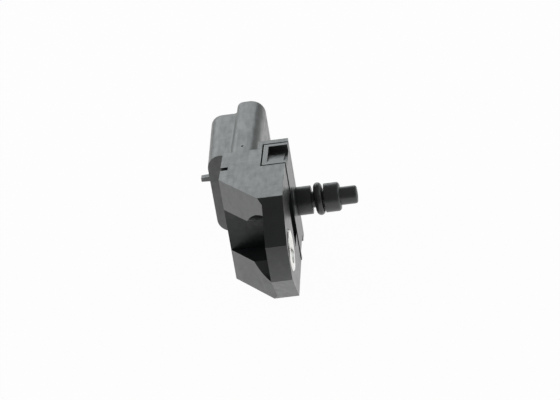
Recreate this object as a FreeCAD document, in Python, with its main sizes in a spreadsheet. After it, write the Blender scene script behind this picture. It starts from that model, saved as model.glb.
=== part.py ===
import FreeCAD, Part
import os
import Sketcher

# Manifold pressure sensor, in millimetres.
# X runs along the nozzle, Y towards the connector's mouth, Z across the width.
# The origin is on the nozzle's axis, in the plane of the mounting face.

doc = FreeCAD.newDocument("pressure_sensor")
sheet = doc.addObject("Spreadsheet::Sheet", "Sizes")

SIZES = {
    # how far a cut, or a form that joins another, runs past their common face
    "overlap": 1.0,
    # flange and mounting hole
    "half_width": 16.0,
    "flange_thick": 6.1,
    "bolt_reach": 32.5,
    "nose_beyond_bolt": 8.0,
    "corner_before_bolt": 2.7,
    "nose_half": 5.4,
    "bush_radius": 6.0,
    "bush_bore": 3.3,
    "bush_chamfer": 0.3,
    "bush_proud": 0.4,
    "head_radius": 11.0,
    "slot_half": 6.5,
    "hollow_half": 6.6,
    "hollow_before_bolt": 15.5,
    "hollow_depth": 3.4,
    # box behind the flange, with its two gussets
    "body_far": 5.3,
    "wall_reach": 13.9,
    "foot_before_bolt": 1.1,
    "side_wall": 1.8,
    "end_wall": 1.1,
    "front_wall": 2.0,
    "pry_width": 2.1,
    "pry_reach": 7.4,
    "pry_length": 2.2,
    "pry_deep": 1.2,
    # connector shroud, whose depth is measured from the blades' middle
    "shroud_behind": 8.5,
    "shroud_lean": 1.1,
    "shroud_before": 8.1,
    "shroud_clear": 1.2,
    "shroud_mouth": 44.2,
    "shroud_round": 4.0,
    "shroud_wall": 1.8,
    "socket_depth": 24.0,
    "socket_round": 2.4,
    "coding_rib_half": 0.5,
    "coding_rib_high": 0.7,
    "coding_rib_place": 4.2,
    "coding_rib_inset": 1.0,
    "key_rise": 3.5,
    "key_width": 8.6,
    "key_round": 4.5,
    "key_small_round": 2.2,
    "key_foot_round": 1.2,
    "least_land": 0.1,
    "keyway_wall": 2.6,
    "nub_from_mouth": 18.6,
    "nub_length": 2.3,
    "nub_root_half": 0.85,
    "nub_tip_half": 0.6,
    "nub_reach": 4.4,
    # nozzle carrier and the housing's wall beyond it
    "carrier_depth": 7.5,
    "carrier_near": 7.5,
    "carrier_far": 8.4,
    "far_wall": 2.5,
    "joint_gap": 0.15,
    "groove_step": 0.45,
    "groove_deep": 0.9,
    "notch_near": 5.3,
    "notch_far": 6.1,
    "notch_back": 5.6,
    "notch_deep": 2.1,
    "ramp_front": 0.9,
    "ramp_top": 0.15,
    "pin_mark_radius": 0.45,
    "pin_mark_deep": 0.8,
    "pin_mark_in": 3.8,
    # nozzle
    "stub_radius": 4.25,
    "stub_end": 5.2,
    "root_round": 0.7,
    "groove_radius": 2.45,
    "groove_play": 1.4,
    "collar_radius": 4.33,
    "collar_length": 3.8,
    "collar_chamfer": 0.9,
    "tip_radius": 2.7,
    "tip_length": 5.9,
    "tip_round": 0.35,
    "port_bore": 1.2,
    "ring_section": 1.2,
    "ring_shift": 0.25,
    "ring_fit": 0.05,
    "ring_tilt": 3.0,
    # chamber at the back of the box, and its cover
    "ledge_width": 1.0,
    "cover_thick": 1.2,
    "cover_rim": 1.6,
    "cover_sink": 0.4,
    "bead_thick": 0.3,
    "post_radius": 1.0,
    "post_inset": 1.9,
    "stake_radius": 0.5,
    "stake_fit": 0.05,
    "stake_proud": 0.4,
    # circuit board and terminals
    "board_thick": 1.0,
    "board_gap": 0.4,
    "board_space": 1.2,
    "blade_half": 0.75,
    "blade_thick": 0.8,
    "blade_pitch": 5.5,
    "blade_recess": 6.2,
    "blade_foot": 2.4,
    "blade_point": 1.2,
    "blade_tip_half": 0.25,
    # measuring cell
    "cell_near": 4.6,
    "cell_far": 2.2,
    "cell_half": 4.0,
    "cell_wall": 0.9,
    "cell_height": 3.7,
    "cap_thick": 0.5,
    "cap_tube": 1.4,
    "cap_bore": 0.9,
    "cap_reach": 0.5,
    "cap_fit": 0.05,
    "seal_width": 0.7,
    "seal_thick": 1.9,
    "pedestal_half": 1.1,
    "pedestal_high": 0.8,
    "die_high": 0.4,
    "diaphragm_half": 0.6,
    "diaphragm_thick": 0.1,
    "gel_below_cap": 0.6,
    "filter_radius": 2.0,
    "filter_thick": 1.0,
    "gasket_thick": 0.4,
    "gasket_clear": 0.6,
    "gasket_width": 2.0,
    # components on the board
    "chip_half_length": 2.45,
    "chip_half_width": 1.95,
    "chip_high": 1.5,
    "lead_pitch": 1.27,
    "lead_width": 0.4,
    "lead_out": 1.0,
    "lead_thick": 0.2,
    "capacitor_pitch": 3.2,
    "capacitor_half": 1.0,
    "capacitor_width": 1.25,
    "capacitor_end": 0.4,
    "capacitor_step": 0.05,
}

# Places that follow from the sizes
FOLLOWS = {
    "nose_reach": "bolt_reach + nose_beyond_bolt",
    "corner_reach": "bolt_reach - corner_before_bolt",
    "gusset_foot": "bolt_reach - foot_before_bolt",
    "hollow_reach": "bolt_reach - hollow_before_bolt",
    "lip_far": "carrier_far + far_wall",
    "carrier_back": "carrier_depth - gasket_thick",
    "chamber_floor": "carrier_depth + front_wall",
    "cell_top": "chamber_floor + seal_thick",
    "board_front": "cell_top + cap_thick + cell_height",
    "board_back": "board_front + board_thick",
    "body_depth": "board_back + board_space + bead_thick + cover_thick",
    "ledge_near": "wall_reach - end_wall",
    "ledge_far": "body_far - end_wall",
    "ledge_half": "half_width - side_wall",
    "room_near": "ledge_near - ledge_width",
    "room_far": "ledge_far - ledge_width",
    "room_half": "ledge_half - ledge_width",
    "room_middle": "( room_near - room_far ) / 2",
    "board_half": "room_half - board_gap",
    "beside_cell": "( cell_half + board_half ) / 2",
    "blade_line": "board_back + blade_thick / 2",
    "blade_tip": "shroud_mouth - blade_recess",
    "shroud_back": "blade_line + shroud_behind",
    "shroud_front": "blade_line - shroud_before",
    "shroud_near": "lip_far + shroud_clear",
    "shroud_half": "half_width - key_rise",
    "socket_end": "shroud_mouth - socket_depth",
    "key_start": "shroud_front + key_width",
    "key_foot": "min( key_foot_round ; body_depth - key_start - least_land )",
    "groove_end": "stub_end + 2 * ring_section + groove_play",
    "ring_place": "stub_end + groove_play / 2 + ring_section + ring_shift",
    "collar_end": "groove_end + collar_length",
    "tip_end": "collar_end + tip_length",
    "gasket_inner": "filter_radius + gasket_clear",
    "die_base": "board_front - cell_wall - pedestal_high",
}

LEADS_A_SIDE = 4
TINY = 1e-3
NEARLY_ONE = 0.99

for row, (name, value) in enumerate(SIZES.items(), start=1):
    sheet.set(f"A{row}", name)
    sheet.set(f"B{row}", str(value))
    sheet.setAlias(f"B{row}", name)
doc.recompute()


def bound(text):
    """An expression in which each size is read from the sheet."""
    words = []
    for word in text.split():
        if word in FOLLOWS:
            words.append(f"( {bound(FOLLOWS[word])} )")
        else:
            words.append(f"Sizes.{word}" if word in SIZES else word)
    return " ".join(words)


def number(text):
    """The present value of such an expression."""
    value = sheet.evalExpression(bound(text))
    return float(getattr(value, "Value", value))


def make_body(label):
    body = doc.addObject("PartDesign::Body", label)
    body.Label = label
    return body


def origin_plane(body, role):
    for feature in body.Origin.OriginFeatures:
        if feature.Role == role:
            return feature


def make_sketch(body, name, role, offset="0"):
    sketch = body.newObject("Sketcher::SketchObject", name)
    sketch.AttachmentSupport = [(origin_plane(body, role), "")]
    sketch.MapMode = "FlatFace"
    if offset != "0":
        away = FreeCAD.Vector(0, 0, number(offset))
        sketch.AttachmentOffset = FreeCAD.Placement(away, FreeCAD.Rotation())
        sketch.setExpression("AttachmentOffset.Base.z", bound(offset))
    return sketch


def pin_point(sketch, edge, corner, place):
    """Ties one point of an edge to the sketch's axes by two sizes."""
    for kind, text, axis in (("DistanceX", place[0], -2), ("DistanceY", place[1], -1)):
        if text == "0":
            sketch.addConstraint(Sketcher.Constraint("PointOnObject", edge, corner, axis))
            continue
        index = sketch.addConstraint(Sketcher.Constraint(kind, -1, 1, edge, corner, number(text)))
        sketch.setExpression(f"Constraints[{index}]", bound(text))


def add_outline(sketch, places):
    """A closed outline of straight edges through the given places."""
    spots = [FreeCAD.Vector(number(across), number(up), 0) for across, up in places]
    first = sketch.GeometryCount
    for index, spot in enumerate(spots):
        sketch.addGeometry(Part.LineSegment(spot, spots[(index + 1) % len(spots)]), False)
    for index in range(len(spots)):
        following = first + (index + 1) % len(spots)
        sketch.addConstraint(Sketcher.Constraint("Coincident", first + index, 2, following, 1))
    for index, place in enumerate(places):
        pin_point(sketch, first + index, 1, place)


def add_circle(sketch, place, radius):
    centre = FreeCAD.Vector(number(place[0]), number(place[1]), 0)
    edge = sketch.addGeometry(Part.Circle(centre, FreeCAD.Vector(0, 0, 1), number(radius)), False)
    pin_point(sketch, edge, 3, place)
    index = sketch.addConstraint(Sketcher.Constraint("Radius", edge, number(radius)))
    sketch.setExpression(f"Constraints[{index}]", bound(radius))


def rectangle(low, high):
    return [(low[0], low[1]), (high[0], low[1]), (high[0], high[1]), (low[0], high[1])]


def grow(body, kind, sketch, length, backwards=False, both_ways=False):
    """A pad or a pocket of a sketch, of the given length."""
    feature = body.newObject(f"PartDesign::{kind}", f"{sketch.Name}_{kind}")
    feature.Profile = sketch
    feature.Length = number(length)
    feature.setExpression("Length", bound(length))
    feature.Reversed = backwards
    feature.Midplane = both_ways
    doc.recompute()
    if kind == "Pocket":
        before = feature.BaseFeature.Shape.Volume
        if feature.Shape.Volume > before - TINY:
            raise ValueError(f"{sketch.Name} cuts nothing")
    return feature


def spin(body, sketch):
    feature = body.newObject("PartDesign::Revolution", f"{sketch.Name}_Revolution")
    feature.Profile = sketch
    feature.ReferenceAxis = (sketch, ["H_Axis"])
    feature.Angle = 360
    doc.recompute()
    return feature


def edges_where(shape, test):
    """Names of the straight edges whose middle and direction pass the test."""
    names = []
    for index, edge in enumerate(shape.Edges, start=1):
        start, end = edge.Vertexes[0].Point, edge.Vertexes[-1].Point
        if (end - start).Length < TINY:
            continue
        middle = (start + end) * 0.5
        if test(middle, (end - start).normalize()):
            names.append(f"Edge{index}")
    return names


def round_edges(body, name, base, test, radius):
    feature = body.newObject("PartDesign::Fillet", name)
    feature.Base = (base, edges_where(base.Shape, test))
    feature.Radius = number(radius)
    feature.setExpression("Radius", bound(radius))
    doc.recompute()
    return feature


def round_rims(body, name, base, x, radius, size, kind="Fillet"):
    """Rounds or chamfers the circular edges at one place along X with one radius."""
    names = []
    for index, edge in enumerate(base.Shape.Edges, start=1):
        curve = edge.Curve
        if curve.TypeId != "Part::GeomCircle":
            continue
        if close(curve.Center.x, x) and close(curve.Radius, radius):
            names.append(f"Edge{index}")
    feature = body.newObject(f"PartDesign::{kind}", name)
    feature.Base = (base, names)
    side = "Radius" if kind == "Fillet" else "Size"
    setattr(feature, side, number(size))
    feature.setExpression(side, bound(size))
    doc.recompute()
    return feature


def close(value, text, slack=0.02):
    return abs(value - number(text)) < slack


def make_block(label, low, high):
    """A plain block between two corners, each given by three expressions."""
    block = doc.addObject("Part::Box", label)
    block.Label = label
    for side, axis, near, far in zip(("Length", "Width", "Height"), "xyz", low, high):
        block.setExpression(side, bound(f"( {far} ) - ( {near} )"))
        block.setExpression(f"Placement.Base.{axis}", bound(near))
    return block


def shroud_and_key(body):
    """The connector's block with its root and its key, rounded along its length."""
    shroud = make_sketch(body, "shroud_outline", "XY_Plane")
    add_outline(shroud, [
        ("0 - shroud_back", "shroud_near"), ("0 - shroud_back - shroud_lean", "shroud_mouth"),
        ("0 - shroud_front", "shroud_mouth"), ("0 - shroud_front", "shroud_near"),
    ])
    grow(body, "Pad", shroud, "2 * shroud_half", both_ways=True)

    root = make_sketch(body, "shroud_root", "XY_Plane")
    add_outline(root, rectangle(("0 - body_depth", "ledge_far"), ("0 - shroud_front", "shroud_near")))
    grow(body, "Pad", root, "2 * shroud_half", both_ways=True)

    key = make_sketch(body, "key_outline", "XY_Plane")
    add_outline(key, rectangle(("0 - key_start", "body_far"), ("0 - shroud_front", "shroud_mouth")))
    base = grow(body, "Pad", key, "half_width")

    def along(direction):
        return abs(direction.y) > NEARLY_ONE

    steps = (
        ("back_rounds", "shroud_round",
         lambda m, d: along(d) and m.x < number("0 - shroud_back") and close(abs(m.z), "shroud_half")),
        ("key_round_edge", "key_round",
         lambda m, d: along(d) and close(m.x, "0 - shroud_front") and close(m.z, "half_width")),
        ("front_round", "shroud_round",
         lambda m, d: along(d) and close(m.x, "0 - shroud_front") and close(m.z, "0 - shroud_half")),
        ("key_small_edge", "key_small_round",
         lambda m, d: along(d) and close(m.x, "0 - key_start") and close(m.z, "half_width")),
        ("key_foot_edge", "key_foot",
         lambda m, d: along(d) and close(m.x, "0 - key_start") and close(m.z, "shroud_half")),
    )
    for name, radius, test in steps:
        base = round_edges(body, name, base, test, radius)

    nub = make_sketch(body, "latch_nub", "XZ_Plane", "nub_from_mouth - shroud_mouth")
    add_outline(nub, [
        ("0 - shroud_back - nub_reach", "0 - nub_tip_half"), ("0 - shroud_back", "0 - nub_root_half"),
        ("0 - shroud_back", "nub_root_half"), ("0 - shroud_back - nub_reach", "nub_tip_half"),
    ])
    grow(body, "Pad", nub, "nub_length", both_ways=True)


def flange_and_box(body):
    """The flange, the box behind it, the gussets and the far wall, with the bolt's slot and hole."""
    side = make_sketch(body, "side_profile", "XY_Plane")
    add_outline(side, [
        ("0", "0 - nose_reach"), ("0", "0 - carrier_near"), ("0 - carrier_depth", "0 - carrier_near"),
        ("0 - carrier_depth", "carrier_far"), ("0", "carrier_far"), ("0", "lip_far"),
        ("0 - shroud_front", "lip_far"), ("0 - shroud_front", "body_far"),
        ("0 - body_depth", "body_far"), ("0 - body_depth", "0 - wall_reach"),
        ("0 - flange_thick", "0 - gusset_foot"), ("0 - flange_thick", "0 - nose_reach"),
    ])
    grow(body, "Pad", side, "2 * half_width", both_ways=True)

    corners = make_sketch(body, "corner_cuts", "YZ_Plane")
    for side in ("", "0 - "):
        add_outline(corners, [
            ("0 - corner_reach", f"{side}half_width"), ("0 - nose_reach", f"{side}nose_half"),
            ("0 - nose_reach - overlap", f"{side}nose_half"),
            ("0 - nose_reach - overlap", f"{side}2 * half_width"),
            ("0 - corner_reach", f"{side}2 * half_width"),
        ])
    grow(body, "Pocket", corners, "body_depth")

    slot = make_sketch(body, "bolt_slot", "XY_Plane")
    add_outline(slot, rectangle(("0 - body_depth - overlap", "0 - nose_reach - overlap"),
                                ("0 - flange_thick", "0 - wall_reach")))
    grow(body, "Pocket", slot, "2 * slot_half", both_ways=True)

    head = make_sketch(body, "head_room", "YZ_Plane", "0 - flange_thick")
    add_circle(head, ("0 - bolt_reach", "0"), "head_radius")
    grow(body, "Pocket", head, "body_depth")

    hole = make_sketch(body, "bush_hole", "YZ_Plane")
    add_circle(hole, ("0 - bolt_reach", "0"), "bush_radius")
    grow(body, "Pocket", hole, "flange_thick")

    hollow = make_sketch(body, "front_hollow", "YZ_Plane")
    add_outline(hollow, rectangle(("0 - hollow_reach", "0 - hollow_half"),
                                  ("overlap - carrier_near", "hollow_half")))
    grow(body, "Pocket", hollow, "hollow_depth")


def socket(body):
    """The connector's cavity, with its coding ribs, the keyway and the terminals' slots."""
    mouth = "shroud_mouth + overlap"
    back, front = "shroud_wall - shroud_back", "0 - shroud_front - shroud_wall"
    inner = "shroud_half - shroud_wall"
    cavity = make_sketch(body, "socket_cavity", "XY_Plane")
    add_outline(cavity, rectangle((back, "socket_end"), (front, mouth)))
    base = grow(body, "Pocket", cavity, f"2 * ( {inner} )", both_ways=True)
    base = round_edges(
        body, "socket_rounds", base,
        lambda m, d: (abs(d.y) > NEARLY_ONE and close(abs(m.z), inner)
                      and (close(m.x, back) or close(m.x, front))),
        "socket_round")

    ribs = make_sketch(body, "coding_ribs", "YZ_Plane", back)
    for side in ("", "0 - "):
        add_outline(ribs, rectangle(
            ("socket_end", f"{side}coding_rib_place - coding_rib_half"),
            ("shroud_mouth - coding_rib_inset", f"{side}coding_rib_place + coding_rib_half")))
    grow(body, "Pad", ribs, "coding_rib_high")

    keyway = make_sketch(body, "keyway", "XY_Plane")
    add_outline(keyway, rectangle(("keyway_wall - key_start", "socket_end"),
                                  ("0 - shroud_front - keyway_wall", mouth)))
    grow(body, "Pocket", keyway, "half_width - keyway_wall", backwards=True)

    slots = make_sketch(body, "terminal_slots", "YZ_Plane", "0 - board_back - blade_thick")
    for place in ("0 - blade_pitch", "0", "blade_pitch"):
        add_outline(slots, rectangle(("room_far - overlap", f"{place} - blade_half"),
                                     ("socket_end + overlap", f"{place} + blade_half")))
    grow(body, "Pocket", slots, "blade_thick", backwards=True)


def add_post_circles(sketch, radius):
    for across in ("post_inset - room_near", "room_far - post_inset"):
        for up in ("room_half - post_inset", "post_inset - room_half"):
            add_circle(sketch, (across, up), radius)


def chamber(body):
    """The chamber for the circuit board, open at the back, with the cover's ledge and the posts."""
    ledge = make_sketch(body, "cover_ledge", "YZ_Plane", "0 - body_depth")
    add_outline(ledge, rectangle(("0 - ledge_near", "0 - ledge_half"), ("ledge_far", "ledge_half")))
    grow(body, "Pocket", ledge, "cover_thick + bead_thick", backwards=True)

    room = make_sketch(body, "board_room", "YZ_Plane", "0 - body_depth")
    add_outline(room, rectangle(("0 - room_near", "0 - room_half"), ("room_far", "room_half")))
    grow(body, "Pocket", room, "body_depth - chamber_floor", backwards=True)

    posts = make_sketch(body, "board_posts", "YZ_Plane", "0 - chamber_floor")
    add_post_circles(posts, "post_radius")
    grow(body, "Pad", posts, "board_front - chamber_floor", backwards=True)
    stakes = make_sketch(body, "board_stakes", "YZ_Plane", "0 - board_front")
    add_post_circles(stakes, "stake_radius")
    grow(body, "Pad", stakes, "board_thick + stake_proud", backwards=True)

    port = make_sketch(body, "port_passage", "YZ_Plane")
    add_circle(port, ("0", "0"), "cap_tube + cap_fit")
    grow(body, "Pocket", port, "chamber_floor + overlap")


def side_marks(body):
    """A pry notch in both side faces, and a pin mark at the key's foot."""
    for name, offset, backwards in (("upper", "half_width", False), ("lower", "0 - half_width", True)):
        pry = make_sketch(body, f"{name}_pry_notch", "XY_Plane", offset)
        add_outline(pry, rectangle(("0 - body_depth - overlap", "0 - pry_reach"),
                                   ("pry_length - body_depth", "pry_width - pry_reach")))
        grow(body, "Pocket", pry, "pry_deep", backwards=backwards)
    mark = make_sketch(body, "pin_mark", "XY_Plane", "half_width")
    add_circle(mark, ("pin_mark_in - key_start", "body_far + pin_mark_in"), "pin_mark_radius")
    grow(body, "Pocket", mark, "pin_mark_deep")


# Housing: flange, box, gussets and connector shroud in one moulding
def make_housing():
    body = make_body("housing")
    shroud_and_key(body)
    flange_and_box(body)
    chamber(body)
    socket(body)
    side_marks(body)


# Carrier: the slab that closes the front of the box, with the nozzle on it
def make_port_carrier():
    body = make_body("port_carrier")
    near, far = "joint_gap - carrier_near", "carrier_far - joint_gap"
    slab = make_sketch(body, "slab_outline", "XY_Plane")
    add_outline(slab, rectangle(("0 - carrier_back", near), ("0", far)))
    grow(body, "Pad", slab, "2 * ( half_width - groove_deep )", both_ways=True)
    rims = make_sketch(body, "rim_outline", "XY_Plane")
    add_outline(rims, rectangle(("0 - carrier_back", f"{near} + groove_step"),
                                ("0", f"{far} - groove_step")))
    grow(body, "Pad", rims, "2 * half_width", both_ways=True)

    for name, offset, backwards in (("upper", "half_width", False), ("lower", "0 - half_width", True)):
        notch = make_sketch(body, f"{name}_notch", "XY_Plane", offset)
        add_outline(notch, rectangle(("0 - notch_back", "0 - notch_near"), ("overlap", "notch_far")))
        grow(body, "Pocket", notch, "notch_deep", backwards=backwards)
    for name, side in (("upper", ""), ("lower", "0 - ")):
        ramp = make_sketch(body, f"{name}_ramp", "YZ_Plane", "0 - notch_back")
        add_outline(ramp, [
            ("0 - notch_near", f"{side}( half_width - ramp_top )"),
            ("0 - notch_near", f"{side}( half_width - notch_deep )"),
            ("notch_far", f"{side}( half_width - notch_deep )"),
        ])
        grow(body, "Pad", ramp, "notch_back - ramp_front")

    nozzle = make_sketch(body, "nozzle_profile", "XY_Plane")
    add_outline(nozzle, [
        ("0 - overlap", "0"), ("tip_end", "0"), ("tip_end", "tip_radius"),
        ("collar_end + collar_chamfer", "tip_radius"), ("collar_end", "collar_radius"),
        ("groove_end", "collar_radius"), ("groove_end", "groove_radius"),
        ("stub_end", "groove_radius"), ("stub_end", "stub_radius"), ("0 - overlap", "stub_radius"),
    ])
    base = spin(body, nozzle)
    base = round_rims(body, "tip_rounding", base, "tip_end", "tip_radius", "tip_round")
    round_rims(body, "root_rounding", base, "0", "stub_radius", "root_round")

    bore = make_sketch(body, "port_bore_hole", "YZ_Plane", "tip_end")
    add_circle(bore, ("0", "0"), "port_bore")
    grow(body, "Pocket", bore, "tip_end + carrier_depth")
    seat = make_sketch(body, "filter_seat", "YZ_Plane", "0 - carrier_back")
    add_circle(seat, ("0", "0"), "filter_radius")
    grow(body, "Pocket", seat, "filter_thick", backwards=True)


# Seals and cover
def make_port_o_ring():
    ring = doc.addObject("Part::Torus", "port_o_ring")
    ring.Label = "port_o_ring"
    ring.setExpression("Radius1", bound("groove_radius + ring_fit + ring_section"))
    ring.setExpression("Radius2", bound("ring_section"))
    ring.Placement = FreeCAD.Placement(FreeCAD.Vector(number("ring_place"), 0, 0),
                                       FreeCAD.Rotation(FreeCAD.Vector(0, 1, 0), 90))
    ring.setExpression("Placement.Base.x", bound("ring_place"))
    ring.setExpression("Placement.Rotation.Angle", bound("90 - ring_tilt"))


def make_washer(label, start, length, inner, outer, place=("0", "0")):
    """A flat ring about an axis along X, from one place along X towards +X."""
    body = make_body(label)
    rings = make_sketch(body, f"{label}_rings", "YZ_Plane", start)
    add_circle(rings, place, outer)
    add_circle(rings, place, inner)
    return body, grow(body, "Pad", rings, length)


def make_damping_filter():
    body = make_body("damping_filter")
    disc = make_sketch(body, "filter_disc", "YZ_Plane", "0 - carrier_back")
    add_circle(disc, ("0", "0"), "filter_radius")
    grow(body, "Pad", disc, "filter_thick")


def make_rear_cover():
    body = make_body("rear_cover")
    plate = make_sketch(body, "cover_plate", "YZ_Plane", "0 - body_depth")
    add_outline(plate, rectangle(("joint_gap - ledge_near", "joint_gap - ledge_half"),
                                 ("ledge_far - joint_gap", "ledge_half - joint_gap")))
    grow(body, "Pad", plate, "cover_thick")
    panel = make_sketch(body, "cover_panel", "YZ_Plane", "0 - body_depth")
    add_outline(panel, rectangle(("cover_rim - ledge_near", "cover_rim - ledge_half"),
                                 ("ledge_far - cover_rim", "ledge_half - cover_rim")))
    grow(body, "Pocket", panel, "cover_sink", backwards=True)


def make_rear_cover_seal():
    body = make_body("rear_cover_seal")
    frame = make_sketch(body, "bead_frame", "YZ_Plane", "cover_thick - body_depth")
    add_outline(frame, rectangle(("0 - ledge_near", "0 - ledge_half"), ("ledge_far", "ledge_half")))
    add_outline(frame, rectangle(("0 - room_near", "0 - room_half"), ("room_far", "room_half")))
    grow(body, "Pad", frame, "bead_thick")


# Metal bush that takes the bolt's load through the flange
def make_mounting_bush():
    body, base = make_washer("mounting_bush", "0 - flange_thick", "flange_thick + bush_proud",
                             "bush_bore", "bush_radius", ("0 - bolt_reach", "0"))
    base = round_rims(body, "front_bore_chamfer", base, "bush_proud", "bush_bore", "bush_chamfer",
                      "Chamfer")
    round_rims(body, "front_rim_chamfer", base, "bush_proud", "bush_radius", "bush_chamfer", "Chamfer")


# Terminals: flat blades from the socket through the wall onto the circuit board
def make_terminal(label, place):
    body = make_body(label)
    foot = "room_far - board_gap - blade_foot"
    blade = make_sketch(body, f"{label}_blade", "YZ_Plane", "0 - board_back - blade_thick")
    add_outline(blade, [
        (foot, "0 - blade_half"), ("blade_tip - blade_point", "0 - blade_half"),
        ("blade_tip", "0 - blade_tip_half"), ("blade_tip", "blade_tip_half"),
        ("blade_tip - blade_point", "blade_half"), (foot, "blade_half"),
    ])
    grow(body, "Pad", blade, "blade_thick")
    body.setExpression("Placement.Base.z", bound(place))


def make_circuit_board():
    body = make_body("circuit_board")
    panel = make_sketch(body, "board_outline", "YZ_Plane", "0 - board_back")
    add_outline(panel, rectangle(("board_gap - room_near", "0 - board_half"),
                                 ("room_far - board_gap", "board_half")))
    add_post_circles(panel, "stake_radius + stake_fit")
    grow(body, "Pad", panel, "board_thick")


# Measuring cell on the front of the board, over the pressure port
def make_cell_case():
    body = make_body("cell_case")
    outside = make_sketch(body, "case_outline", "YZ_Plane", "0 - board_front")
    add_outline(outside, rectangle(("0 - cell_near", "0 - cell_half"), ("cell_far", "cell_half")))
    grow(body, "Pad", outside, "cell_height")
    inside = make_sketch(body, "case_cup", "YZ_Plane", "cell_height - board_front")
    add_outline(inside, rectangle(("cell_wall - cell_near", "cell_wall - cell_half"),
                                  ("cell_far - cell_wall", "cell_half - cell_wall")))
    grow(body, "Pocket", inside, "cell_height - cell_wall")


def make_cell_cap():
    body = make_body("cell_cap")
    plate = make_sketch(body, "cap_plate", "YZ_Plane", "cell_height - board_front")
    add_outline(plate, rectangle(("0 - cell_near", "0 - cell_half"), ("cell_far", "cell_half")))
    grow(body, "Pad", plate, "cap_thick")
    tube = make_sketch(body, "cap_tube_outline", "YZ_Plane", "0 - cell_top")
    add_circle(tube, ("0", "0"), "cap_tube")
    grow(body, "Pad", tube, "seal_thick + cap_reach")
    bore = make_sketch(body, "cap_tube_bore", "YZ_Plane", "cap_reach - chamber_floor")
    add_circle(bore, ("0", "0"), "cap_bore")
    grow(body, "Pocket", bore, "body_depth")


def make_cell_stack():
    """Glass pedestal, silicon die with its thin diaphragm, and the gel over them."""
    middle = "( cell_far - cell_near ) / 2"
    base = "cell_wall - board_front"
    low = (f"{middle} - pedestal_half", "0 - pedestal_half")
    high = (f"{middle} + pedestal_half", "pedestal_half")
    make_block("glass_pedestal", (base, *low), (f"{base} + pedestal_high", *high))

    top = "0 - die_base"
    blank = make_block("die_blank", (top, *low), (f"{top} + die_high", *high))
    void = make_block("die_void", (top, f"{middle} - diaphragm_half", "0 - diaphragm_half"),
                      (f"{top} + die_high - diaphragm_thick", f"{middle} + diaphragm_half",
                       "diaphragm_half"))
    die = doc.addObject("Part::Cut", "sensor_die")
    die.Base, die.Tool, die.Label = blank, void, "sensor_die"

    fill = make_block("gel_fill", (base, "cell_wall - cell_near", "cell_wall - cell_half"),
                      ("cell_height - gel_below_cap - board_front", "cell_far - cell_wall",
                       "cell_half - cell_wall"))
    core = make_block("gel_core", (base, *low), (f"{top} + die_high", *high))
    gel = doc.addObject("Part::Cut", "protective_gel")
    gel.Base, gel.Tool, gel.Label = fill, core, "protective_gel"


# Components soldered to the front of the board
def make_evaluation_chip():
    body = make_body("evaluation_chip")
    face = "0 - board_front"
    case = make_sketch(body, "chip_outline", "YZ_Plane", f"{face} + lead_thick")
    near, far = "0 - room_middle - chip_half_width", "chip_half_width - room_middle"
    add_outline(case, rectangle((near, "beside_cell - chip_half_length"),
                                (far, "beside_cell + chip_half_length")))
    grow(body, "Pad", case, "chip_high - lead_thick")
    feet = make_sketch(body, "lead_feet", "YZ_Plane", face)
    risers = make_sketch(body, "lead_risers", "YZ_Plane", face)
    for index in range(LEADS_A_SIDE):
        step = index - (LEADS_A_SIDE - 1) / 2
        low = f"beside_cell + {step} * lead_pitch - lead_width / 2"
        high = f"beside_cell + {step} * lead_pitch + lead_width / 2"
        add_outline(feet, rectangle((f"{near} - lead_out", low), (f"{near} - lead_thick", high)))
        add_outline(feet, rectangle((f"{far} + lead_thick", low), (f"{far} + lead_out", high)))
        add_outline(risers, rectangle((f"{near} - lead_thick", low), (near, high)))
        add_outline(risers, rectangle((far, low), (f"{far} + lead_thick", high)))
    grow(body, "Pad", feet, "lead_thick")
    grow(body, "Pad", risers, "chip_high / 2")


def make_capacitor(label, step):
    body = make_body(label)
    face = "0 - board_front"
    place = f"( {step} * capacitor_pitch - room_middle )"
    half, wide = "capacitor_half", "( capacitor_width / 2 )"
    core = make_sketch(body, f"{label}_core", "YZ_Plane", f"{face} + capacitor_step")
    add_outline(core, rectangle((f"{place} - {wide} + capacitor_step", f"0 - beside_cell - {half}"),
                                (f"{place} + {wide} - capacitor_step", f"{half} - beside_cell")))
    grow(body, "Pad", core, "capacitor_width - 2 * capacitor_step")
    ends = make_sketch(body, f"{label}_ends", "YZ_Plane", face)
    for low, high in ((f"0 - beside_cell - {half}", f"capacitor_end - beside_cell - {half}"),
                      (f"{half} - beside_cell - capacitor_end", f"{half} - beside_cell")):
        add_outline(ends, rectangle((f"{place} - {wide}", low), (f"{place} + {wide}", high)))
    grow(body, "Pad", ends, "capacitor_width")


def write_parts(labels):
    """Checks the document and writes each sub-part to its own file."""
    doc.recompute()
    for item in doc.Objects:
        if "Invalid" in item.State or "Error" in item.State:
            raise ValueError(f"{item.Name} is not well")
    parts = {item.Label: item for item in doc.Objects}
    for label in labels:
        shape = parts[label].Shape
        if shape.isNull() or not shape.isValid():
            raise ValueError(f"{label} has no valid shape")
    os.makedirs("parts", exist_ok=True)
    for label in labels:
        parts[label].Shape.exportStep(f"parts/{label}.step")
        print(f"{label:18s} {parts[label].Shape.Volume:10.3f} mm3, {len(parts[label].Shape.Solids)} solid")


make_housing()
make_port_carrier()
make_port_o_ring()
make_washer("carrier_gasket", "0 - carrier_depth", "gasket_thick", "gasket_inner",
            "gasket_inner + gasket_width")
make_rear_cover()
make_rear_cover_seal()
make_mounting_bush()
for terminal, spot in (("supply_terminal", "blade_pitch"), ("signal_terminal", "0"),
                       ("ground_terminal", "0 - blade_pitch")):
    make_terminal(terminal, spot)
make_circuit_board()
make_cell_case()
make_cell_cap()
make_washer("cell_seal", "0 - cell_top", "seal_thick", "cap_tube", "cap_tube + seal_width")
make_cell_stack()
make_damping_filter()
make_evaluation_chip()
for capacitor, step in (("supply_capacitor", 0), ("signal_capacitor", -1), ("filter_capacitor", 1)):
    make_capacitor(capacitor, step)

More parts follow.
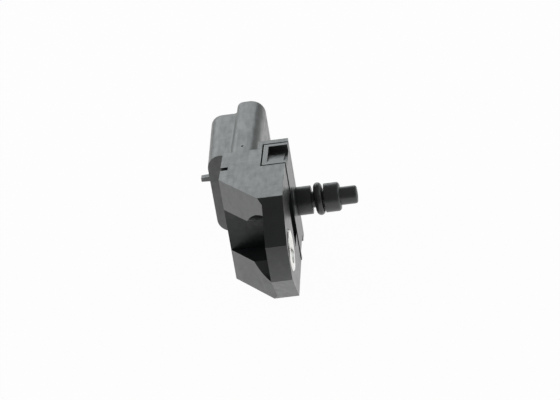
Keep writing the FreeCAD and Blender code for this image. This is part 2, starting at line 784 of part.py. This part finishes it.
write_parts([
    "housing", "port_carrier", "port_o_ring", "carrier_gasket", "damping_filter", "rear_cover",
    "rear_cover_seal", "mounting_bush", "supply_terminal", "signal_terminal", "ground_terminal",
    "circuit_board", "cell_case", "cell_cap", "cell_seal", "glass_pedestal", "sensor_die",
    "protective_gel", "evaluation_chip", "supply_capacitor", "signal_capacitor", "filter_capacitor",
])
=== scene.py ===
import math

import bpy
from mathutils import Matrix, Vector


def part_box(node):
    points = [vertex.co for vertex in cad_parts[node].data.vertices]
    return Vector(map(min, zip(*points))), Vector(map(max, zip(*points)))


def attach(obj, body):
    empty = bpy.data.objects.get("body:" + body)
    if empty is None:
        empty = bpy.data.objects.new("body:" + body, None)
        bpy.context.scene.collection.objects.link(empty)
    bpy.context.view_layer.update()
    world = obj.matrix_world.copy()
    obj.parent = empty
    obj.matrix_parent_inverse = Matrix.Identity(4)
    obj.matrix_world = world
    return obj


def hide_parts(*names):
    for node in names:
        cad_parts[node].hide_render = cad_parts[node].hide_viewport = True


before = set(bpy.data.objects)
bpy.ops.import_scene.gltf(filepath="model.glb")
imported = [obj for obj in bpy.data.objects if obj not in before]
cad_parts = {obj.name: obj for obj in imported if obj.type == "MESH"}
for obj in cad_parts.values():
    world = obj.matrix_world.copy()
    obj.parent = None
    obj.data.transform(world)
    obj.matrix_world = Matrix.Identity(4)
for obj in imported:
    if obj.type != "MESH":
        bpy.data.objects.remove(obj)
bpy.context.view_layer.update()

# Manifold pressure sensor, in metres.
# X runs along the nozzle, Y towards the connector's mouth, Z across the width.

MM = 0.001
FLOOR_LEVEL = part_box("housing")[0].z

# Edge radii of the mouldings and the stamped pieces
HOUSING_EDGE = 0.28 * MM
CARRIER_EDGE = 0.3 * MM
COVER_EDGE = 0.15 * MM
BLADE_EDGE = 0.12 * MM
BUSH_EDGE = 0.06 * MM

# The bush's bore, countersink and outer rim
BUSH_BORE = 3.3 * MM
BUSH_SINK = 0.8 * MM
BUSH_RIM = 0.3 * MM

# The nozzle's radii and places along X
NOZZLE_EDGE = 0.12 * MM
NOZZLE_CUT = 1.0 * MM
PORT_BORE = 1.2 * MM
PORT_SINK = 0.25 * MM
STUB_RADIUS = 4.25 * MM
STUB_END = 5.2 * MM
GROOVE_RADIUS = 2.45 * MM
GROOVE_END = 9.0 * MM
COLLAR_RADIUS = 4.33 * MM
COLLAR_END = 12.8 * MM
SHOULDER_END = 13.7 * MM
SHOULDER_FOOT = 3.2 * MM
TIP_RADIUS = 2.7 * MM
TIP_ROUND = 0.75 * MM
TURN_STEPS = 96

# The seam between the flange's face and the carrier, the width and depth of the shade painted along it,
# and the carrier's step there
FLANGE_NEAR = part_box("housing")[0].y
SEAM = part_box("port_carrier")[0].y
SEAM_WIDTH = 0.45 * MM
SEAM_DEPTH = 1.0 * MM
FLANGE_STEP = 0.22 * MM

# The far wall of the bolt's slot, on which shade is painted
SLOT_WALL = -13.9 * MM
SLOT_HALF = 6.6 * MM
WALL_DEPTH = 0.2 * MM

# Finish of the plastic: how strongly it bends light, and how strongly each part of it mirrors, lowered
# as painted shade at the carrier's seam and on the slot's far wall
PLASTIC_IOR = 1.65
SATIN = 1.0
NOZZLE_SHINE = 0.5
SEAM_PAINTED_SHADE = 0.05
PAINTED_WALL_SHADE = (0.2, 0.55)

# Along X, where the nozzle turns dull, where it starts and ends to turn paler towards its tip, and its
# colour there
DULL_FROM = 0.0
DULL_TO = 0.4 * MM
PALE_FROM = -2 * MM
PALE_TO = 14 * MM
NOZZLE_PALE = (0.060, 0.061, 0.064)

# Angles and distances of the mesh work
SHARP_ANGLE = math.radians(28)
FLAT_ANGLE = math.radians(0.5)
WELD = 0.5e-6


# Mesh work

def deselect_all():
    bpy.ops.object.select_all(action="DESELECT")


def pick(piece):
    deselect_all()
    piece.select_set(True)
    bpy.context.view_layer.objects.active = piece


def welded_copy(name, node_name):
    """A new piece with the node's faces, joined along their edges."""
    piece = bpy.data.objects.new(name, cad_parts[node_name].data.copy())
    bpy.context.scene.collection.objects.link(piece)
    pick(piece)
    bpy.ops.object.mode_set(mode="EDIT")
    bpy.ops.mesh.select_all(action="SELECT")
    bpy.ops.mesh.customdata_custom_splitnormals_clear()
    bpy.ops.mesh.remove_doubles(threshold=WELD)
    bpy.ops.mesh.dissolve_limited(angle_limit=FLAT_ANGLE)
    bpy.ops.object.mode_set(mode="OBJECT")
    return piece


def soften_edges(piece, radius, steps=3):
    """Rounds every sharp edge of a welded piece."""
    pick(piece)
    bevel = piece.modifiers.new("edge_radius", "BEVEL")
    bevel.width = radius
    bevel.segments = steps
    bevel.limit_method = "ANGLE"
    bevel.angle_limit = SHARP_ANGLE
    bevel.use_clamp_overlap = True
    bevel.miter_outer = "MITER_ARC"
    bpy.ops.object.modifier_apply(modifier=bevel.name)
    bpy.ops.object.shade_smooth_by_angle(angle=SHARP_ANGLE)
    even = piece.modifiers.new("even_shading", "WEIGHTED_NORMAL")
    even.mode = "FACE_AREA"
    even.weight = 100
    even.keep_sharp = True
    bpy.ops.object.modifier_apply(modifier=even.name)


def settle(piece, slot_name, material, *nodes):
    """Gives a finished piece its material, parents it to the root body and hides the nodes that it
    stands for; the slot's name is not used.
    """
    piece.data.materials.clear()
    piece.data.materials.append(material)
    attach(piece, "root")
    if nodes:
        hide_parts(*nodes)


# Materials

class Graph:
    """The node tree of one material, on Object coordinates."""

    def __init__(self, name):
        self.material = bpy.data.materials.new(name)
        self.material.use_nodes = True
        self.tree = self.material.node_tree
        self.shader = self.tree.nodes["Principled BSDF"]
        self.place = self.tree.nodes.new("ShaderNodeTexCoord").outputs["Object"]

    def add(self, kind, settings=None, **inputs):
        node = self.tree.nodes.new(kind)
        for key, value in (settings or {}).items():
            setattr(node, key, value)
        for key, value in inputs.items():
            self.feed(node.inputs[key.replace("_", " ")], value)
        return node

    def feed(self, socket, value):
        if isinstance(value, bpy.types.NodeSocket):
            self.tree.links.new(value, socket)
        else:
            socket.default_value = value

    def noise(self, size, detail=3.0, stretch=(1, 1, 1)):
        """Cloudy variation from 0 to 1 whose features are about that size."""
        placed = self.add("ShaderNodeMapping", Vector=self.place, Scale=stretch)
        return self.add("ShaderNodeTexNoise", Vector=placed.outputs["Vector"], Scale=1 / size,
                        Detail=detail).outputs["Fac"]

    def spread(self, value, low, high, start=0.3, end=0.7):
        """The value's middle range stretched over low to high."""
        return self.add("ShaderNodeMapRange", Value=value, From_Min=start, From_Max=end,
                        To_Min=low, To_Max=high).outputs["Result"]

    def blend(self, share, first, second):
        mix = self.add("ShaderNodeMix", {"data_type": "RGBA"})
        self.feed(mix.inputs["Factor"], share)
        self.feed(mix.inputs["A"], (*first, 1) if isinstance(first, tuple) else first)
        self.feed(mix.inputs["B"], (*second, 1) if isinstance(second, tuple) else second)
        return mix.outputs["Result"]

    def join(self, operation, first, second):
        node = self.add("ShaderNodeMath", {"operation": operation})
        self.feed(node.inputs[0], first)
        self.feed(node.inputs[1], second)
        return node.outputs[0]

    def choose(self, share, first, second):
        return self.add("ShaderNodeMix", {"data_type": "FLOAT"}, Factor=share, A=first,
                        B=second).outputs["Result"]

    def within(self, value, low, high):
        """1 between the two limits and 0 outside them."""
        return self.join("MULTIPLY", self.join("GREATER_THAN", value, low),
                         self.join("LESS_THAN", value, high))

    def relief(self, *layers):
        """Bumps, one on the other, each a height value and its depth in metres."""
        normal = None
        for height, depth in layers:
            bump = self.add("ShaderNodeBump", Height=height, Distance=depth)
            if normal is not None:
                self.feed(bump.inputs["Normal"], normal)
            normal = bump.outputs["Normal"]
        self.feed(self.shader.inputs["Normal"], normal)

    def set(self, **inputs):
        for key, value in inputs.items():
            value = (*value, 1) if isinstance(value, tuple) and len(value) == 3 else value
            self.feed(self.shader.inputs[key.replace("_", " ")], value)


def shine_with_painted_slot_shade(graph):
    """Even, but for the far wall of the bolt's slot, where painted shade lowers the shine, most at its
    foot.
    """
    apart = graph.add("ShaderNodeSeparateXYZ", Vector=graph.place).outputs
    # Painted shade on the slot's far wall: it mirrors less towards its foot, where shade falls in the
    # slot
    wall = graph.join("MULTIPLY",
                      graph.within(apart["Y"], SLOT_WALL - WALL_DEPTH, SLOT_WALL + WALL_DEPTH),
                      graph.within(apart["Z"], -SLOT_HALF, SLOT_HALF))
    return graph.choose(wall, SATIN, graph.spread(apart["Z"], *PAINTED_WALL_SHADE, -SLOT_HALF, SLOT_HALF))


def moulded_plastic(name, shade, pale, rough, grain):
    """Satin glass-filled plastic with a spark-eroded grain and faint flow marks."""
    graph = Graph(name)
    clouds = graph.noise(6 * MM, 4.0)
    flow = graph.noise(1.2 * MM, 2.0, stretch=(1.0, 0.25, 1.0))
    fine = graph.noise(grain, 2.0)
    colour = graph.blend(graph.spread(clouds, 0.0, 0.6), shade, pale)
    colour = graph.blend(graph.spread(flow, 0.0, 0.35), colour, pale)
    graph.set(Base_Color=colour, Roughness=graph.spread(flow, rough - 0.05, rough + 0.06))
    graph.set(IOR=PLASTIC_IOR, Specular_IOR_Level=shine_with_painted_slot_shade(graph))
    graph.relief((clouds, 0.14 * MM), (fine, 0.014 * MM))
    return graph.material


def nozzle_plastic(name, shade, pale, rough, worn_rough, grain):
    """The same plastic, duller along the nozzle and paler towards its tip, with painted shade at the
    carrier's seam.
    """
    graph = Graph(name)
    apart = graph.add("ShaderNodeSeparateXYZ", Vector=graph.place).outputs
    along = apart["X"]
    nozzle = graph.spread(along, 0.0, 1.0, DULL_FROM, DULL_TO)
    # Painted shade: a thin dark line along the carrier's edge, where it meets the flange
    seam = graph.join("MULTIPLY", graph.within(apart["Y"], SEAM - SEAM_WIDTH, SEAM + SEAM_WIDTH),
                      graph.within(along, -SEAM_DEPTH, SEAM_DEPTH))
    clouds = graph.noise(5 * MM, 4.0)
    fine = graph.noise(grain, 2.0)
    # Base colour turns paler along X towards the nozzle's tip
    paler_to_tip = graph.spread(along, 0.0, 1.0, PALE_FROM, PALE_TO)
    cloudy = graph.blend(graph.spread(clouds, 0.0, 1.0), shade, pale)
    graph.set(Base_Color=graph.blend(paler_to_tip, cloudy, NOZZLE_PALE))
    graph.set(Roughness=graph.spread(nozzle, rough, worn_rough, 0.0, 1.0), IOR=PLASTIC_IOR)
    shine = graph.spread(nozzle, SATIN, NOZZLE_SHINE, 0.0, 1.0)
    graph.set(Specular_IOR_Level=graph.choose(seam, shine, SEAM_PAINTED_SHADE))
    graph.relief((clouds, 0.04 * MM), (fine, 0.008 * MM))
    return graph.material


def moulded_rubber(name):
    """Black sealing rubber with a dull bloom."""
    graph = Graph(name)
    bloom = graph.noise(2 * MM, 4.0)
    fine = graph.noise(0.15 * MM, 2.0)
    graph.set(Base_Color=graph.blend(graph.spread(bloom, 0.0, 1.0), (0.038, 0.038, 0.040),
                                     (0.052, 0.052, 0.054)))
    graph.set(Roughness=graph.spread(bloom, 0.24, 0.36), IOR=1.6)
    graph.relief((fine, 0.008 * MM))
    return graph.material


def turned_steel(name, centre):
    """Plated steel with turning rings about an axis along X."""
    graph = Graph(name)
    placed = graph.add("ShaderNodeMapping", Vector=graph.place,
                       Location=(0, -centre.y, -centre.z)).outputs["Vector"]
    rings = graph.add("ShaderNodeTexWave", {"wave_type": "RINGS", "rings_direction": "X"},
                      Vector=placed, Scale=1 / (3 * MM), Distortion=0.3, Detail=1.0).outputs["Fac"]
    stain = graph.noise(1.5 * MM, 4.0)
    graph.set(Base_Color=graph.blend(graph.spread(stain, 0.0, 1.0), (0.88, 0.87, 0.84),
                                     (0.78, 0.77, 0.74)))
    graph.set(Metallic=1.0, Roughness=graph.spread(stain, 0.16, 0.26))
    graph.relief((rings, 0.004 * MM), (stain, 0.006 * MM))
    return graph.material


def rolled_metal(name, shade, dull, rough, along):
    """Stamped strip with fine rolling lines along one axis."""
    graph = Graph(name)
    stretch = [6.0, 6.0, 6.0]
    stretch["XYZ".index(along)] = 0.3
    lines = graph.noise(0.5 * MM, 3.0, stretch=tuple(stretch))
    stain = graph.noise(2.0 * MM, 3.0)
    graph.set(Base_Color=graph.blend(graph.spread(stain, 0.0, 1.0), shade, dull))
    graph.set(Metallic=1.0, Roughness=graph.spread(lines, rough - 0.06, rough + 0.08))
    graph.relief((lines, 0.006 * MM))
    return graph.material


def cured_bead(name):
    """Silicone bead, uneven and slightly glossy."""
    graph = Graph(name)
    waves = graph.noise(1.5 * MM, 3.0)
    graph.set(Base_Color=graph.blend(graph.spread(waves, 0.0, 1.0), (0.1, 0.1, 0.105),
                                     (0.15, 0.15, 0.155)))
    graph.set(Roughness=graph.spread(waves, 0.3, 0.42))
    graph.relief((waves, 0.15 * MM))
    return graph.material


def solder_mask(name):
    """Green laminate with traces showing through the mask as a faint grid."""
    graph = Graph(name)
    cells = graph.add("ShaderNodeTexVoronoi", {"distance": "MANHATTAN"}, Vector=graph.place,
                      Scale=1 / (2.2 * MM)).outputs["Distance"]
    weave = graph.noise(0.3 * MM, 2.0)
    graph.set(Base_Color=graph.blend(graph.spread(cells, 0.0, 1.0, 0.35, 0.5), (0.02, 0.12, 0.05),
                                     (0.035, 0.19, 0.08)))
    graph.set(Roughness=graph.spread(weave, 0.25, 0.35), Coat_Weight=0.3)
    graph.relief((cells, 0.02 * MM), (weave, 0.005 * MM))
    return graph.material


def speckled(name, shade, pale, rough, size, **more):
    """A fired, sintered or moulded small part with a fine two-tone speckle."""
    graph = Graph(name)
    grains = graph.noise(size, 4.0)
    graph.set(Base_Color=graph.blend(graph.spread(grains, 0.0, 1.0), shade, pale),
              Roughness=graph.spread(grains, rough - 0.05, rough + 0.05), **more)
    graph.relief((grains, size / 8))
    return graph.material


# Pieces

def tilt_flange(piece):
    """Tilts the flange's face back by a hair, so the carrier stands proud of it at the seam."""
    angle = math.atan(FLANGE_STEP / (SEAM - FLANGE_NEAR))
    pick(piece)
    bpy.ops.object.mode_set(mode="EDIT")
    bpy.ops.mesh.select_mode(type="VERT")
    bpy.ops.mesh.select_all(action="DESELECT")
    bpy.ops.object.mode_set(mode="OBJECT")
    for vertex in piece.data.vertices:
        vertex.select = abs(vertex.co.x) < WELD and vertex.co.y < SEAM + WELD
    bpy.ops.object.mode_set(mode="EDIT")
    bpy.ops.transform.rotate(value=-angle, orient_axis="Z", center_override=(0, FLANGE_NEAR, 0))
    bpy.ops.object.mode_set(mode="OBJECT")


def moulded(name, node, radius, slot_name, material, reshape=None):
    """A moulding or stamping made from its node, with broken edges."""
    piece = welded_copy(name, node)
    if reshape:
        reshape(piece)
    soften_edges(piece, radius)
    settle(piece, slot_name, material, node)
    return piece


def shoulder(centre, radii, steps=8):
    """Places on a quarter of an ellipse, from the end of a turned piece out to its side."""
    places = []
    for step in range(steps + 1):
        angle = math.radians(90 * step / steps)
        places.append((centre[0] + radii[0] * math.cos(angle), centre[1] + radii[1] * math.sin(angle)))
    return places


def turned(name, profile, axis_y, axis_z, edge, slot_name, material, *nodes):
    """A piece turned about an axis along X from a closed profile of places along and out."""
    mesh = bpy.data.meshes.new(name)
    mesh.from_pydata([(along, out, 0) for along, out in profile],
                     [(step, (step + 1) % len(profile)) for step in range(len(profile))], [])
    piece = bpy.data.objects.new(name, mesh)
    bpy.context.scene.collection.objects.link(piece)
    pick(piece)
    lathe = piece.modifiers.new("turning", "SCREW")
    lathe.axis = "X"
    lathe.steps = TURN_STEPS
    lathe.use_smooth_shade = False
    bpy.ops.object.modifier_apply(modifier=lathe.name)
    bpy.ops.object.mode_set(mode="EDIT")
    bpy.ops.mesh.select_all(action="SELECT")
    bpy.ops.mesh.remove_doubles(threshold=WELD)
    bpy.ops.mesh.normals_make_consistent(inside=False)
    bpy.ops.transform.translate(value=(0, axis_y, axis_z))
    bpy.ops.object.mode_set(mode="OBJECT")
    soften_edges(piece, edge, 2)
    settle(piece, slot_name, material, *nodes)
    return piece


def turn_bush(material):
    """The bush, with a countersunk bore and a broken outer rim."""
    low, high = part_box("mounting_bush")
    middle = (low + high) / 2
    outer = (high.y - low.y) / 2
    turned("turned_bush", [
        (low.x, BUSH_BORE), (low.x, outer - BUSH_RIM), (low.x + BUSH_RIM, outer),
        (high.x - BUSH_RIM, outer), (high.x, outer - BUSH_RIM), (high.x, BUSH_BORE + BUSH_SINK),
        (high.x - BUSH_SINK, BUSH_BORE),
    ], middle.y, middle.z, BUSH_EDGE, "bush_steel", material, "mounting_bush")


def turn_nozzle(material):
    """The nozzle in front of the carrier, with rounded shoulders on its collar and tip."""
    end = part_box("port_carrier")[1].x
    turned("nozzle", [
        (NOZZLE_CUT, PORT_BORE), (end - PORT_SINK, PORT_BORE), (end, PORT_BORE + PORT_SINK),
        *shoulder((end - TIP_ROUND, TIP_RADIUS - TIP_ROUND), (TIP_ROUND, TIP_ROUND)),
        (SHOULDER_END, TIP_RADIUS),
        *shoulder((COLLAR_END, SHOULDER_FOOT),
                  (SHOULDER_END - COLLAR_END, COLLAR_RADIUS - SHOULDER_FOOT)),
        (GROOVE_END, COLLAR_RADIUS), (GROOVE_END, GROOVE_RADIUS), (STUB_END, GROOVE_RADIUS),
        (STUB_END, STUB_RADIUS), (NOZZLE_CUT, STUB_RADIUS),
    ], 0, 0, NOZZLE_EDGE, "carrier_plastic", material)


def cut_nozzle_off(piece):
    """Takes the nozzle off the carrier's copy, in front of the rounding at its root."""
    pick(piece)
    bpy.ops.object.mode_set(mode="EDIT")
    bpy.ops.mesh.select_all(action="SELECT")
    bpy.ops.mesh.bisect(plane_co=(NOZZLE_CUT, 0, 0), plane_no=(1, 0, 0), clear_outer=True)
    bpy.ops.object.mode_set(mode="OBJECT")


def dress_node(node, material):
    """Keeps a node as it is and gives it its finish."""
    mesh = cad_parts[node].data
    mesh.materials.clear()
    mesh.materials.append(material)


housing_plastic = moulded_plastic("housing_plastic", (0.010, 0.012, 0.013), (0.022, 0.025, 0.026),
                                  0.34, 0.22 * MM)
carrier_plastic = nozzle_plastic("carrier_plastic", (0.014, 0.015, 0.016), (0.022, 0.024, 0.025),
                                 0.34, 0.36, 0.2 * MM)
rubber = moulded_rubber("seal_rubber")
bush_low, bush_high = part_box("mounting_bush")
steel = turned_steel("bush_steel", (bush_low + bush_high) / 2)
tin = rolled_metal("terminal_metal", (0.75, 0.74, 0.70), (0.62, 0.60, 0.56), 0.3, "Y")
cap_steel = rolled_metal("cap_metal", (0.66, 0.66, 0.66), (0.58, 0.58, 0.57), 0.28, "Z")

moulded("housing_moulding", "housing", HOUSING_EDGE, "housing_plastic", housing_plastic,
        reshape=tilt_flange)
cut_nozzle_off(moulded("front_carrier", "port_carrier", CARRIER_EDGE, "carrier_plastic",
                       carrier_plastic))
turn_nozzle(carrier_plastic)
moulded("back_cover", "rear_cover", COVER_EDGE, "carrier_plastic", carrier_plastic)
for terminal in ("supply_terminal", "signal_terminal", "ground_terminal"):
    moulded(terminal.replace("terminal", "blade"), terminal, BLADE_EDGE, "terminal_metal", tin)

turn_bush(steel)
dress_node("port_o_ring", rubber)
dress_node("carrier_gasket", rubber)
dress_node("cell_seal", rubber)
dress_node("cell_cap", cap_steel)
dress_node("rear_cover_seal", cured_bead("adhesive"))
dress_node("circuit_board", solder_mask("board_laminate"))
dress_node("cell_case", speckled("cell_plastic", (0.07, 0.07, 0.075), (0.1, 0.1, 0.105), 0.5, 0.3 * MM))
dress_node("evaluation_chip", speckled("chip_epoxy", (0.03, 0.03, 0.033), (0.05, 0.05, 0.054), 0.55,
                                       0.12 * MM))
dress_node("sensor_die", speckled("silicon", (0.16, 0.17, 0.2), (0.2, 0.21, 0.24), 0.12, 0.5 * MM,
                                  Metallic=0.6))
dress_node("glass_pedestal", speckled("pedestal_glass", (0.82, 0.9, 0.92), (0.88, 0.94, 0.95), 0.1,
                                      0.6 * MM, Transmission_Weight=0.9))
dress_node("protective_gel", speckled("gel", (0.72, 0.75, 0.78), (0.78, 0.8, 0.82), 0.12, 2 * MM,
                                      Transmission_Weight=0.8))
dress_node("damping_filter", speckled("sintered_bronze", (0.5, 0.36, 0.18), (0.66, 0.5, 0.28), 0.45,
                                      0.15 * MM, Metallic=1.0))
ceramic = speckled("capacitor_ceramic", (0.45, 0.33, 0.22), (0.58, 0.45, 0.32), 0.5, 0.2 * MM)
for capacitor in ("supply_capacitor", "signal_capacitor", "filter_capacitor"):
    dress_node(capacitor, ceramic)


# Floor, light and camera

FLOOR_SIZE = 8.0

# How much of the floor seen by the camera is plain white; the rest keeps the shadow
BACKGROUND_SHARE = 0.97

# Where the floor starts and ends to fade in mirrored views, along Y, and what is left of it:
# towards the camera and far behind the piece
FRONT_FADE = (-0.045, -0.120, 0.12)
BACK_FADE = (0.16, 0.40, 0.6)

# The room's light on the piece, and how bright the room looks in a mirror
AMBIENT = 0.28
MIRRORED_ROOM = 0.11

# The softboxes: their colour, and the place, width, height and brightness of each
COOL = (0.94, 1.0, 1.0)
SOFTBOXES = {
    "back_softbox": ((-0.48, 1.5, 0.58), 2.05, 0.9, 1.6),
    "side_softbox": ((1.0, 1.3, 0.42), 1.3, 0.84, 0.4),
    "left_softbox": ((-1.4, 0.1, 0.7), 1.0, 1.0, 1.2),
    "right_softbox": ((1.4, 0.2, 0.7), 1.0, 1.0, 0.7),
}

# The photograph's viewpoint, 0.65 m away and 24 degrees above the floor's plane. The lens and the
# sensor are in millimetres.
CAMERA_PLACE = (0.06113, -0.59002, 0.26777)
CAMERA_AHEAD = (-0.10047, 0.90666, -0.40972)
CAMERA_UP = (0.12211, 0.41993, 0.89931)
CAMERA_LENS = 141.43
SENSOR_WIDTH = 36.0


def join_values(tree, operation, first, second):
    node = tree.nodes.new("ShaderNodeMath")
    node.operation = operation
    tree.links.new(first, node.inputs[0])
    if isinstance(second, float):
        node.inputs[1].default_value = second
    else:
        tree.links.new(second, node.inputs[1])
    return node.outputs[0]


def floor_shine(tree):
    """The floor's own light: even for straight rays, fading away from the piece in mirrored ones."""
    path = tree.nodes.new("ShaderNodeLightPath")
    place = tree.nodes.new("ShaderNodeTexCoord").outputs["Object"]
    apart = tree.nodes.new("ShaderNodeSeparateXYZ")
    tree.links.new(place, apart.inputs["Vector"])
    fades = []
    for start, end, faded in (FRONT_FADE, BACK_FADE):
        fade = tree.nodes.new("ShaderNodeMapRange")
        fade.interpolation_type = "SMOOTHSTEP"
        for name, value in (("From Min", start), ("From Max", end), ("To Min", 1.0), ("To Max", faded)):
            fade.inputs[name].default_value = value
        tree.links.new(apart.outputs["Y"], fade.inputs["Value"])
        fades.append(fade.outputs["Result"])
    fade = join_values(tree, "MULTIPLY", *fades)
    straight = join_values(tree, "MAXIMUM", path.outputs["Is Camera Ray"],
                           path.outputs["Is Transmission Ray"])
    share = join_values(tree, "MAXIMUM", join_values(tree, "MULTIPLY", straight, BACKGROUND_SHARE),
                        path.outputs["Is Glossy Ray"])
    mirrored = join_values(tree, "MULTIPLY", path.outputs["Is Glossy Ray"], fade)
    return share, join_values(tree, "MAXIMUM", straight, mirrored)


def lay_floor():
    deselect_all()
    bpy.ops.mesh.primitive_plane_add(size=FLOOR_SIZE, location=(0, 0, FLOOR_LEVEL))
    floor = bpy.context.active_object
    floor.name = "floor"
    material = bpy.data.materials.new("studio_floor")
    material.use_nodes = True
    tree = material.node_tree
    tree.nodes.clear()
    paper = tree.nodes.new("ShaderNodeBsdfDiffuse")
    paper.inputs["Color"].default_value = (0.86, 0.86, 0.86, 1)
    glow = tree.nodes.new("ShaderNodeEmission")
    glow.inputs["Color"].default_value = (1, 1, 1, 1)
    mix = tree.nodes.new("ShaderNodeMixShader")
    share, shine = floor_shine(tree)
    tree.links.new(share, mix.inputs["Fac"])
    tree.links.new(shine, glow.inputs["Strength"])
    tree.links.new(paper.outputs[0], mix.inputs[1])
    tree.links.new(glow.outputs[0], mix.inputs[2])
    output = tree.nodes.new("ShaderNodeOutputMaterial")
    tree.links.new(mix.outputs[0], output.inputs["Surface"])
    floor.data.materials.append(material)


def softbox(name, place, width, height, radiance):
    """An area lamp that faces the piece and looks this bright in a mirror."""
    lamp = bpy.data.lights.new(name, "AREA")
    lamp.color = COOL
    lamp.shape = "RECTANGLE"
    lamp.size = width
    lamp.size_y = height
    lamp.energy = radiance * math.pi * width * height
    holder = bpy.data.objects.new(name, lamp)
    bpy.context.scene.collection.objects.link(holder)
    holder.location = place
    holder.rotation_euler = (-Vector(place)).to_track_quat("-Z", "Y").to_euler()
    holder.visible_camera = False


def light_world():
    world = bpy.data.worlds.new("studio")
    bpy.context.scene.world = world
    world.use_nodes = True
    tree = world.node_tree
    tree.nodes.clear()
    path = tree.nodes.new("ShaderNodeLightPath")
    room = tree.nodes.new("ShaderNodeMapRange")
    room.inputs["To Min"].default_value = AMBIENT
    room.inputs["To Max"].default_value = MIRRORED_ROOM
    tree.links.new(path.outputs["Is Glossy Ray"], room.inputs["Value"])
    strength = tree.nodes.new("ShaderNodeMapRange")
    strength.inputs["To Max"].default_value = 1.0
    tree.links.new(room.outputs["Result"], strength.inputs["To Min"])
    tree.links.new(path.outputs["Is Camera Ray"], strength.inputs["Value"])
    back = tree.nodes.new("ShaderNodeBackground")
    back.inputs["Color"].default_value = (1, 1, 1, 1)
    tree.links.new(strength.outputs["Result"], back.inputs["Strength"])
    output = tree.nodes.new("ShaderNodeOutputWorld")
    tree.links.new(back.outputs[0], output.inputs["Surface"])


def place_camera():
    ahead = Vector(CAMERA_AHEAD)
    right = ahead.cross(Vector(CAMERA_UP)).normalized()
    up = right.cross(ahead)
    data = bpy.data.cameras.new("camera")
    data.sensor_width = SENSOR_WIDTH
    data.lens = CAMERA_LENS
    data.clip_start = 0.01
    camera = bpy.data.objects.new("camera", data)
    bpy.context.scene.collection.objects.link(camera)
    turn = Matrix((right, up, -ahead)).transposed()
    camera.matrix_world = Matrix.Translation(CAMERA_PLACE) @ turn.to_4x4()
    bpy.context.scene.camera = camera


lay_floor()
light_world()
for box_name, values in SOFTBOXES.items():
    softbox(box_name, *values)
place_camera()
bpy.context.scene.view_settings.view_transform = "Standard"
